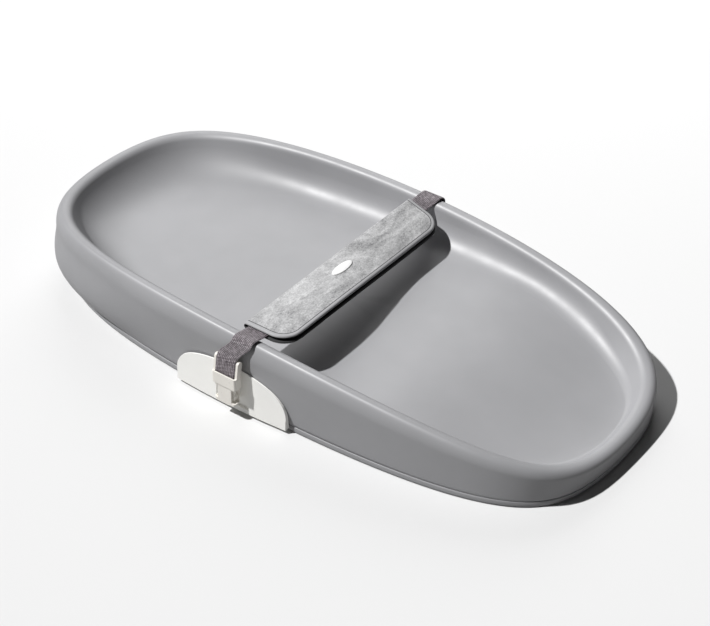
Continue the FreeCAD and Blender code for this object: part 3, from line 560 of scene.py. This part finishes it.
def build_tray():
    """The tray under the foam, with soft corners either side of the seam."""
    rows = ((30.0 * MM, 0.0), (0.8 * MM, 0.0), (0.2 * MM, 0.3 * MM), (0.0, 1.0 * MM), (0.0, 3.5 * MM),
            (0.0, -1.0 * MM), (0.3 * MM, -0.4 * MM), (1.2 * MM, -0.1 * MM), (4.0 * MM, -0.1 * MM))
    rings = []
    for inset, lift in rows:
        z = tray_high.z + lift if lift < 0 else tray_low.z + lift
        ring = []
        for step in range(RING_POINTS):
            angle = 2 * math.pi * step / RING_POINTS
            ring.append(inset_point(angle, base_inset(outline_x(angle)) + inset, z))
        rings.append(ring)
    tray = new_object("pad_tray", *closed_rings(rings))
    fix_normals(tray)
    paint(tray, skinned_foam_material("tray_skin", tuple(c * TRAY_TONE for c in FOAM_COLOUR), 0.5))
    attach(tray, "pad")
    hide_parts("base_tray")
    return tray


# ---------------------------------------------------------------- rigid pieces
def softened(node, body, material, bevel):
    """A copy of a CAD node with its sharp edges rounded, standing for the node."""
    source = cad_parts[node]
    piece = bpy.data.objects.new(node + "_soft", source.data.copy())
    bpy.context.scene.collection.objects.link(piece)
    work = bmesh.new()
    work.from_mesh(piece.data)
    bmesh.ops.remove_doubles(work, verts=work.verts, dist=0.01 * MM)
    bmesh.ops.dissolve_limit(work, angle_limit=math.radians(1.0), verts=work.verts, edges=work.edges)
    work.to_mesh(piece.data)
    work.free()
    rounding = piece.modifiers.new("rounding", "BEVEL")
    rounding.width = bevel
    rounding.segments = 3
    rounding.limit_method = "ANGLE"
    rounding.angle_limit = math.radians(35)
    rounding.harden_normals = False
    piece.data.polygons.foreach_set("use_smooth", [True] * len(piece.data.polygons))
    edges = piece.modifiers.new("edges", "WEIGHTED_NORMAL")
    edges.keep_sharp = True
    paint(piece, material)
    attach(piece, body)
    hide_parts(node)
    return piece


def build_hardware():
    """Brackets, buckle, feet, pin and screws."""
    # The white and buckle plastics get a small emission: painted glow that brightens them.
    white = moulded_plastic_material("white_plastic", (0.92, 0.915, 0.885), 0.42, painted_glow=0.05)
    buckle = moulded_plastic_material("buckle_plastic", (0.84, 0.81, 0.755), 0.3, painted_glow=0.04)
    steel = steel_material("steel")
    softened("front_bracket", "pad", white, 1.4 * MM)
    softened("rear_bracket", "pad", white, 1.4 * MM)
    softened("buckle_socket", "pad", buckle, 0.7 * MM)
    softened("buckle_insert", "belt", buckle, 0.7 * MM)
    softened("buckle_latch_left", "latch_left", buckle, 0.6 * MM)
    softened("buckle_latch_right", "latch_right", buckle, 0.6 * MM)
    paint(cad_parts["grip_feet"], rubber_material("grip_rubber", (0.04, 0.04, 0.04)))
    for node in ("rear_anchor_pin", "bracket_screws", "socket_screws"):
        paint(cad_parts[node], steel)


# ---------------------------------------------------------------- webbing
WEBBING_THICKNESS = 1.5 * MM
WEBBING_WIDTH = 29.0 * MM
BUCKLE_X = (insert_low.x + insert_high.x) / 2
BELT_TOP = belt_high.z - WEBBING_THICKNESS / 2
ANCHOR_Y = (pin_low.y + pin_high.y) / 2
ANCHOR_Z = (pin_low.z + pin_high.z) / 2
ANCHOR_RADIUS = (pin_high.z - pin_low.z) / 2
LOOP_BAR_RADIUS = 2.4 * MM
LOOP_BAR_Y = -204.5 * MM
LOOP_BAR_Z = insert_high.z - 4.0 * MM
COLLAR_TOP = 63.0 * MM
SLOT_Y = insert_low.y + 4.0 * MM
RIM_GAP = 0.8 * MM
PIECE_GAP = 0.3 * MM
BELT_DRIFT = 4.4 * MM
SKEW_START_Y = -170.0 * MM
SKEW_RUN_TO_RIM = 30.0 * MM
SKEW_RUN_TO_BAR = 34.0 * MM
RIM_LEAVE_ANGLE = 67.0
BAR_LEAVE_ANGLE = 80.0
WEBBING_COLUMNS = 20
SELVEDGE_FROM = 0.93                               # share of the half width where the selvedge starts to thin
SEAM_DROP = 7.0 * MM                               # how far below the belt's top its row of stitches runs
SEAM_MARGIN = 1.5 * MM
SEAM_STITCHES = 11
STITCH_HALF_LENGTH = 0.75 * MM
STITCH_BOW = 0.25 * MM
STITCH_RADIUS = 0.38 * MM

# --- cover sizes ---
SEAM_INSET = 5.5 * MM
COVER_CORNER = 27.0 * MM
DROOP = 17.0 * MM
DROOP_PULL = 0.2
DROOP_FROM_Y = -100.0 * MM
DROOP_LENGTH = 180.0 * MM
SLIDE_REACH = 12.0 * MM
LOWER_PANEL_GROWTH = 1.0 * MM
UPPER_MIDDLE = (lining_low.z + top_high.z) / 2
UPPER_HALF = (top_high.z - lining_low.z) / 2
LOWER_HALF = (lower_high.z - lower_low.z) / 2
LOWER_MIDDLE = (lower_low.z + lower_high.z) / 2 - 0.6 * MM
FOLD_X = lower_low.x
FREE_X = lower_high.x
NEAR_Y = lower_low.y
FAR_Y = lower_high.y
UNTWIST_FROM_Y = FAR_Y + SLIDE_REACH
PANEL_COLUMNS = 52
FOLD_COLUMNS = 16
COVER_ROWS = 240
FOLD_HALF = 0.9 * MM
PILLOW_LIFT = 3.0 * MM
PILLOW_GRID = (18, 90)
CLOTH_FRAMES = 20
BADGE_POINTS = 72
TAPE_ROWS = 60


def sagged(point, share=1.0):
    """The cover's free side hangs down over its far half, which also draws it in a little."""
    share *= smooth_step((point.y - DROOP_FROM_Y) / DROOP_LENGTH)
    out = max(0.0, point.x - FOLD_X)
    fall = DROOP * share * out / (FREE_X - FOLD_X)
    return Vector((point.x - DROOP_PULL * share * out, point.y, point.z - fall))


def arc_path(centre_y, centre_z, radius, start, end, steps):
    """Points (y, z) along an arc; angles in degrees from +Y towards +Z."""
    points = []
    for step in range(steps + 1):
        angle = math.radians(start + (end - start) * step / steps)
        points.append((centre_y + radius * math.cos(angle), centre_z + radius * math.sin(angle)))
    return points


def straight_path(start, end, spacing):
    """Points between two ends, leaving out the ends."""
    length = math.hypot(end[0] - start[0], end[1] - start[1])
    count = max(1, int(length / spacing))
    points = []
    for step in range(1, count):
        share = step / count
        points.append((start[0] + (end[0] - start[0]) * share, start[1] + (end[1] - start[1]) * share))
    return points


def belt_x(y, z):
    """The belt drifts a little on its way across, then swings to the buckle as it drops down the wall."""
    run = (SKEW_START_Y - y) + (BELT_TOP - z) if y < SKEW_START_Y else 0.0
    drift = BELT_DRIFT * smooth_step((HALF_WIDTH - y) / (2 * HALF_WIDTH))
    drift *= 1 - smooth_step(run / SKEW_RUN_TO_RIM)
    return drift + BUCKLE_X * smooth_step((run - SKEW_RUN_TO_RIM) / SKEW_RUN_TO_BAR)


def belt_centre_line():
    """The belt's centre line: round the anchor, over both rims, over the loop bar and into the buckle."""
    middle = WEBBING_THICKNESS / 2
    bend = EDGE_RADIUS + middle + 2 * PIECE_GAP
    corner_y = HALF_WIDTH + RIM_GAP + middle - bend
    corner_z = BELT_TOP - bend
    over_bar = LOOP_BAR_RADIUS + PIECE_GAP + middle
    pieces = [
        [(ANCHOR_Y - 2.0 * MM, ANCHOR_Z + 30 * MM), (ANCHOR_Y - 1.4 * MM, ANCHOR_Z + 10 * MM)],
        arc_path(ANCHOR_Y, ANCHOR_Z, ANCHOR_RADIUS + PIECE_GAP + middle, 60, -180, 24),
        arc_path(corner_y, corner_z, bend, 0, 90, 12),
        arc_path(-corner_y, corner_z, bend, 90, 90 + RIM_LEAVE_ANGLE, 10),
        arc_path(LOOP_BAR_Y, LOOP_BAR_Z, over_bar, 90 + RIM_LEAVE_ANGLE, 90 + BAR_LEAVE_ANGLE, 4),
        [(SLOT_Y, COLLAR_TOP + 2 * MM), (SLOT_Y, COLLAR_TOP - 7 * MM)],
    ]
    line = list(pieces[0])
    for piece in pieces[1:]:
        line += straight_path(line[-1], piece[0], 2.0 * MM)
        line += piece
    return [Vector((belt_x(y, z), y, z)) for y, z in line]


def build_webbing():
    """The belt's webbing as a flat strap with rounded selvedges; it twists with the cover's sag."""
    path = belt_centre_line()
    half_width = WEBBING_WIDTH / 2
    half_thick = WEBBING_THICKNESS / 2
    rings, along, across = [], [], []
    distance = 0.0
    for index, point in enumerate(path):
        before = path[max(0, index - 1)]
        after = path[min(len(path) - 1, index + 1)]
        direction = Vector((0, after.y - before.y, after.z - before.z)).normalized()
        normal = Vector((0, -direction.z, direction.y))
        if index:
            distance += (point - path[index - 1]).length
        held = 1 - smooth_step((point.y - UNTWIST_FROM_Y) / (HALF_WIDTH - CREST_WIDTH - UNTWIST_FROM_Y))
        ring = []
        for side in (1, -1):
            for column in range(WEBBING_COLUMNS + 1):
                share = -1 + 2 * column / WEBBING_COLUMNS
                share *= side
                edge = max(0.0, (abs(share) - SELVEDGE_FROM) / (1 - SELVEDGE_FROM))
                thick = half_thick * math.sqrt(1 - 0.75 * edge * edge)
                spot = point + Vector((share * half_width, 0, 0)) + normal * (side * thick)
                ring.append(sagged(spot, held))
                along.append(distance)
                across.append(share * half_width)
        rings.append(ring)
    vertices, faces = closed_rings(rings)
    webbing = new_object("belt_strap", vertices, faces)
    along += [0.0, distance]
    across += [0.0, 0.0]
    set_attribute(webbing, "along", along)
    set_attribute(webbing, "across", across)
    fix_normals(webbing)
    paint(webbing, webbing_material("webbing"))
    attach(webbing, "belt")
    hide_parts("belt_webbing")
    return webbing


def stitch(start, end, lift, radius):
    """Vertices and faces of one raised stitch between two points, bowed outwards by lift."""
    rings = []
    direction = (end - start).normalized()
    side = direction.cross(lift).normalized()
    outwards = lift.normalized()
    for step in range(7):
        share = step / 6
        swell = math.sin(math.pi * (0.08 + 0.84 * share))
        centre = start + (end - start) * share + lift * math.sin(math.pi * share)
        ring = []
        for corner in range(8):
            turn = 2 * math.pi * corner / 8
            ring.append(centre + (side * math.cos(turn) + outwards * math.sin(turn)) * radius * swell)
        rings.append(ring)
    return closed_rings(rings)


def joined(parts):
    """Put several (vertices, faces) lists together."""
    vertices, faces = [], []
    for part_vertices, part_faces in parts:
        offset = len(vertices)
        vertices += part_vertices
        faces += [tuple(index + offset for index in face) for face in part_faces]
    return vertices, faces


def build_belt_seam():
    """A row of pale stitches across the belt where it bends over the near rim."""
    path = belt_centre_line()
    near = [point for point in path if point.y < -HALF_WIDTH * 0.9]
    place = min(range(1, len(near) - 1), key=lambda index: abs(near[index].z - (BELT_TOP - SEAM_DROP)))
    direction = (near[place + 1] - near[place - 1]).normalized()
    normal = Vector((0, -direction.z, direction.y)).normalized()
    if normal.y > 0:
        normal = -normal
    stitches = []
    width = WEBBING_WIDTH - 2 * SEAM_MARGIN
    for number in range(SEAM_STITCHES):
        x = near[place].x - width / 2 + width * (number + 0.5) / SEAM_STITCHES
        base = Vector((x, near[place].y, near[place].z)) + normal * (WEBBING_THICKNESS / 2)
        half = Vector((STITCH_HALF_LENGTH, 0, 0))
        stitches.append(stitch(base - half, base + half, normal * STITCH_BOW, STITCH_RADIUS))
    seam = new_object("belt_seam", *joined(stitches))
    fix_normals(seam)
    paint(seam, thread_material("seam_thread", (0.75, 0.73, 0.75)))
    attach(seam, "belt")
    return seam


# ---------------------------------------------------------------- cover
def end_setback(x):
    """How far the rounded corners pull the cover's ends in at x."""
    into = min(COVER_CORNER, max(0.0, x - (FREE_X - COVER_CORNER)))
    return COVER_CORNER - math.sqrt(max(0.0, COVER_CORNER ** 2 - into ** 2))


def edge_distance(x, y):
    """Distance from a point on a panel to its nearest free edge."""
    to_end = min(y - NEAR_Y, FAR_Y - y)
    to_side = FREE_X - x
    if to_side < COVER_CORNER and to_end < COVER_CORNER:
        return max(0.0, COVER_CORNER - math.hypot(COVER_CORNER - to_side, COVER_CORNER - to_end))
    return max(0.0, min(to_end, to_side))


def panel_half_thickness(distance, full):
    """Half thickness of a panel near its rounded edge."""
    radius = full * 1.1
    if distance >= radius:
        return full
    share = max(0.0, distance / radius)
    return full * math.sqrt(1 - (1 - share) ** 2)


def cover_section():
    """Stations (x, z, normal x, normal z, half thickness, upper share) from free edge to free edge."""
    stations = []
    for step in range(PANEL_COLUMNS):
        share = step / PANEL_COLUMNS
        share = share * (1.6 - 0.6 * share)
        x = FREE_X + (FOLD_X - FREE_X) * min(1.0, share)
        stations.append((x, UPPER_MIDDLE, 0.0, 1.0, UPPER_HALF, 1.0))
    radius = (UPPER_MIDDLE - LOWER_MIDDLE) / 2
    centre_z = (UPPER_MIDDLE + LOWER_MIDDLE) / 2
    for step in range(FOLD_COLUMNS + 1):
        share = step / FOLD_COLUMNS
        angle = math.pi / 2 + math.pi * share
        half = FOLD_HALF + (UPPER_HALF - FOLD_HALF) * (1 - smooth_step(share * 3)) * (share < 0.34)
        if share > 0.66:
            half = FOLD_HALF + (LOWER_HALF - FOLD_HALF) * smooth_step((share - 0.66) / 0.34)
        stations.append((FOLD_X + radius * math.cos(angle), centre_z + radius * math.sin(angle),
                         math.cos(angle), math.sin(angle), half, 1 - share))
    for step in range(1, PANEL_COLUMNS + 1):
        share = 1 - step / PANEL_COLUMNS
        share = share * (1.6 - 0.6 * share)
        x = FREE_X + (FOLD_X - FREE_X) * min(1.0, share)
        stations.append((x, LOWER_MIDDLE, 0.0, -1.0, LOWER_HALF, 0.0))
    return stations


def inflate(pillow, pinned):
    """Cloth simulation with pressure and no gravity; returns the simulated mesh's evaluated object."""
    group = pillow.vertex_groups.new(name="pins")
    group.add([index for index, fixed in enumerate(pinned) if fixed], 1.0, "REPLACE")
    settings = pillow.modifiers.new("cloth", "CLOTH").settings
    settings.use_pressure = True
    settings.uniform_pressure_force = 4.0
    settings.effector_weights.gravity = 0.0
    settings.vertex_group_mass = "pins"
    settings.quality = 6
    settings.mass = 0.3
    settings.tension_stiffness = 15
    settings.compression_stiffness = 15
    settings.shear_stiffness = 5
    settings.bending_stiffness = 0.5
    for number in range(1, CLOTH_FRAMES + 1):
        bpy.context.scene.frame_set(number)
    return pillow.evaluated_get(bpy.context.evaluated_depsgraph_get())


def pillow_heights():
    """How far the padding lifts the upper panel at each column and row, from a cloth simulation."""
    columns, rows = PILLOW_GRID
    low_x, high_x = FOLD_X + 1 * MM, FREE_X - SEAM_INSET
    low_y, high_y = NEAR_Y + SEAM_INSET, FAR_Y - SEAM_INSET
    lifts = {}
    vertices, faces, pinned = [], [], []
    for side in (1, -1):
        for column in range(columns + 1):
            for row in range(rows + 1):
                x = low_x + (high_x - low_x) * column / columns
                y = low_y + (high_y - low_y) * row / rows
                rim = column in (0, columns) or row in (0, rows)
                crease = 0.35 * MM * math.sin(190 * y + 60 * x) * math.sin(75 * y - 1.3)
                z = UPPER_MIDDLE + side * (0.0 if rim else 1.0 * MM) + (0.0 if rim else crease)
                vertices.append((x, y, z))
                pinned.append(rim or side < 0)
    sheet = (columns + 1) * (rows + 1)
    for side in (0, 1):
        for column in range(columns):
            for row in range(rows):
                a = side * sheet + column * (rows + 1) + row
                quad = (a, a + 1, a + rows + 2, a + rows + 1)
                faces.append(quad if side else quad[::-1])
    pillow = new_object("pillow_work", vertices, faces)
    fix_normals(pillow)
    inflated = inflate(pillow, pinned)
    shape = inflated.to_mesh()
    for column in range(columns + 1):
        for row in range(rows + 1):
            index = column * (rows + 1) + row
            lift = shape.vertices[index].co.z - UPPER_MIDDLE
            lifts[(column, row)] = max(-0.5 * MM, min(PILLOW_LIFT, lift))
    inflated.to_mesh_clear()
    bpy.data.objects.remove(pillow)
    bpy.context.scene.frame_set(1)
    return lifts, (columns, rows, low_x, high_x, low_y, high_y)


def sample_pillow(pillow, x, y):
    """Lift of the simulated padding at a point, by linear interpolation between its grid points."""
    lifts, (columns, rows, low_x, high_x, low_y, high_y) = pillow
    u = (x - low_x) / (high_x - low_x) * columns
    v = (y - low_y) / (high_y - low_y) * rows
    if not (0 <= u <= columns and 0 <= v <= rows):
        return 0.0
    column = min(int(u), columns - 1)
    row = min(int(v), rows - 1)
    fu, fv = u - column, v - row
    near = lifts[(column, row)] * (1 - fu) + lifts[(column + 1, row)] * fu
    far = lifts[(column, row + 1)] * (1 - fu) + lifts[(column + 1, row + 1)] * fu
    return near * (1 - fv) + far * fv


def cover_rows(station, pillow):
    """Outer points, inner points and distances from the free edge along one station of the cover."""
    x, z, normal_x, normal_z, half, upper = station
    start_y = NEAR_Y + end_setback(x)
    end_y = FAR_Y - end_setback(x)
    outer, inner, edges = [], [], []
    for row in range(COVER_ROWS + 1):
        share = row / COVER_ROWS
        share -= 0.1 * math.sin(2 * math.pi * share) / math.pi
        y = start_y + (end_y - start_y) * share
        away = edge_distance(x, y)
        middle = Vector((x, y, z))
        raised = 0.0
        if upper == 1.0:
            raised = sample_pillow(pillow, x, y) * smooth_step((away - SEAM_INSET) / (9 * MM))
        if upper == 0.0:
            middle.x += LOWER_PANEL_GROWTH * smooth_step((x - FOLD_X) / (FREE_X - FOLD_X))
            middle.y += LOWER_PANEL_GROWTH * (2 * share - 1)
        across = Vector((normal_x, 0, normal_z)) * panel_half_thickness(away, half)
        outer.append(sagged(middle + across + Vector((0, 0, raised))))
        inner.append(sagged(middle - across))
        edges.append(away if upper > 0.5 else 2 * SEAM_INSET)
    return outer, inner, edges


def cover_sheet(name, stations, pillow):
    """A closed sheet of felt with a lining, through a run of the cover's stations."""
    lines = [cover_rows(station, pillow) for station in stations]
    vertices = [point for line in lines for point in line[0]] + [point for line in lines for point in line[1]]
    edges = [away for line in lines for away in line[2]] * 2
    rows = COVER_ROWS + 1
    sheet = len(lines) * rows
    felt, lining = [], []
    for column in range(len(lines) - 1):
        for row in range(rows - 1):
            a = column * rows + row
            b = a + sheet
            felt.append((a, a + 1, a + rows + 1, a + rows))
            lining.append((b, b + rows, b + rows + 1, b + 1))
        for row in (0, rows - 1):
            a = column * rows + row
            felt.append((a, a + rows, a + rows + sheet, a + sheet))
    for column in (0, len(lines) - 1):
        for row in range(rows - 1):
            a = column * rows + row
            felt.append((a, a + sheet, a + sheet + 1, a + 1))
    piece = new_object(name, vertices, felt + lining)
    set_attribute(piece, "edge", edges)
    paint(piece, cover_material(name + "_felt"))
    piece.data.materials.append(lining_material(name + "_lining", (0.05, 0.05, 0.052)))
    piece.data.polygons.foreach_set("material_index", [0] * len(felt) + [1] * len(lining))
    work = bmesh.new()
    work.from_mesh(piece.data)
    bmesh.ops.remove_doubles(work, verts=work.verts, dist=0.002 * MM)
    bmesh.ops.recalc_face_normals(work, faces=work.faces)
    work.to_mesh(piece.data)
    work.free()
    return piece


def build_cover():
    """The belt's cover: a padded flap above the belt, folded round its head side to a panel underneath."""
    stations = cover_section()
    pillow = pillow_heights()
    split = PANEL_COLUMNS + FOLD_COLUMNS
    flap = cover_sheet("cover_wrap", stations[:split + 1], pillow)
    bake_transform(flap)
    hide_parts("cover_top_fabric", "cover_padding", "cover_lining", "cover_edge_binding",
                "cover_stitching")
    panel = cover_sheet("cover_under_panel", stations[split:], pillow)
    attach(panel, "cover")
    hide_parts("cover_lower_panel")


def build_badge():
    """A plain oval badge, slightly domed, with no lettering."""
    centre = (label_low + label_high) / 2
    half_x = (label_high.x - label_low.x) / 2
    half_y = (label_high.y - label_low.y) / 2
    base = UPPER_MIDDLE + UPPER_HALF + PILLOW_LIFT * 0.8
    rows = ((1.0, -0.6 * MM), (1.0, 0.3 * MM), (0.985, 0.55 * MM),
            (0.95, 0.7 * MM), (0.8, 0.8 * MM), (0.4, 0.9 * MM))
    rings = []
    for scale, lift in rows:
        ring = []
        for step in range(BADGE_POINTS):
            angle = 2 * math.pi * step / BADGE_POINTS
            ring.append(sagged(Vector((centre.x + half_x * scale * math.cos(angle),
                                       centre.y + half_y * scale * math.sin(angle), base + lift))))
        rings.append(ring)
    badge = new_object("cover_badge", *closed_rings(rings))
    fix_normals(badge)
    paint(badge, moulded_plastic_material("badge", (0.9, 0.9, 0.9), 0.35))
    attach(badge, "cover_flap")
    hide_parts("cover_label")


def build_touch_tape(node, name, body):
    """One strip of touch fastener, following the sag of the panel it is sewn to."""
    low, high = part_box(node)
    rings = []
    for row in range(TAPE_ROWS + 1):
        y = low.y + (high.y - low.y) * row / TAPE_ROWS
        corners = ((low.x, low.z), (high.x, low.z), (high.x, high.z), (low.x, high.z))
        rings.append([sagged(Vector((x, y, z))) for x, z in corners])
    tape = new_object(name, *closed_rings(rings), smooth=False)
    fix_normals(tape)
    paint(tape, lining_material(name + "_cloth", (0.03, 0.03, 0.03)))
    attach(tape, body)
    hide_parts(node)


# ---------------------------------------------------------------- stage
def build_stage():
    """A pale flat floor, a crisp key light, a soft panel behind the far side and a faint surround."""
    corners = [(x * FLOOR_SIZE, y * FLOOR_SIZE, 0) for x, y in ((-1, -1), (1, -1), (1, 1), (-1, 1))]
    floor = new_object("floor", corners, [(0, 1, 2, 3)], smooth=False)
    material, nodes, links, shader = new_material("floor")
    seen = nodes.new("ShaderNodeLightPath").outputs["Is Camera Ray"]
    links.new(mix_colours(nodes, links, seen, (FLOOR_BOUNCE,) * 3, (FLOOR_TONE,) * 3),
              shader.inputs["Base Color"])
    shader.inputs["Roughness"].default_value = 1.0
    shader.inputs["Specular IOR Level"].default_value = 0.0
    paint(floor, material)
    sun = bpy.data.lights.new("key", "SUN")
    sun.energy = KEY_STRENGTH
    sun.angle = KEY_SOFTNESS
    key = bpy.data.objects.new("key", sun)
    key.rotation_mode = "QUATERNION"
    key.rotation_quaternion = Vector(KEY_DIRECTION).to_track_quat("-Z", "Y")
    bpy.context.scene.collection.objects.link(key)
    panel = bpy.data.lights.new("back_panel", "AREA")
    panel.energy = PANEL_STRENGTH
    panel.shape = "SQUARE"
    panel.size = PANEL_SIZE
    back = bpy.data.objects.new("back_panel", panel)
    towards = Vector(PANEL_PLACE)
    back.location = towards * PANEL_DISTANCE
    back.rotation_mode = "QUATERNION"
    back.rotation_quaternion = (-towards).to_track_quat("-Z", "Y")
    bpy.context.scene.collection.objects.link(back)
    world = bpy.data.worlds.new("surround")
    bpy.context.scene.world = world
    world.use_nodes = True
    background = world.node_tree.nodes["Background"]
    background.inputs["Color"].default_value = (1, 1, 1, 1)
    background.inputs["Strength"].default_value = FILL_STRENGTH


def build_camera():
    """The photograph's viewing angle."""
    level = math.cos(VIEW_ELEVATION)
    back = Vector((math.sin(VIEW_AZIMUTH) * level, -math.cos(VIEW_AZIMUTH) * level,
                   math.sin(VIEW_ELEVATION)))
    lens = bpy.data.cameras.new("camera")
    lens.sensor_width = VIEW_SENSOR
    lens.lens = VIEW_LENS
    camera = bpy.data.objects.new("camera", lens)
    camera.location = Vector(VIEW_TARGET) + back * VIEW_DISTANCE
    camera.rotation_mode = "QUATERNION"
    camera.rotation_quaternion = (-back).to_track_quat("-Z", "Y")
    bpy.context.scene.collection.objects.link(camera)
    bpy.context.scene.camera = camera
    bpy.context.scene.view_settings.view_transform = "Standard"


build_basin()
build_tray()
build_hardware()
build_webbing()
build_belt_seam()
build_cover()
build_badge()
build_touch_tape("cover_loop_strip", "loop_tape", "cover")
build_touch_tape("cover_hook_strip", "hook_tape", "cover_flap")
paint(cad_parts["belt_stitching"], thread_material("thread", (0.5, 0.48, 0.5)))
build_stage()
build_camera()
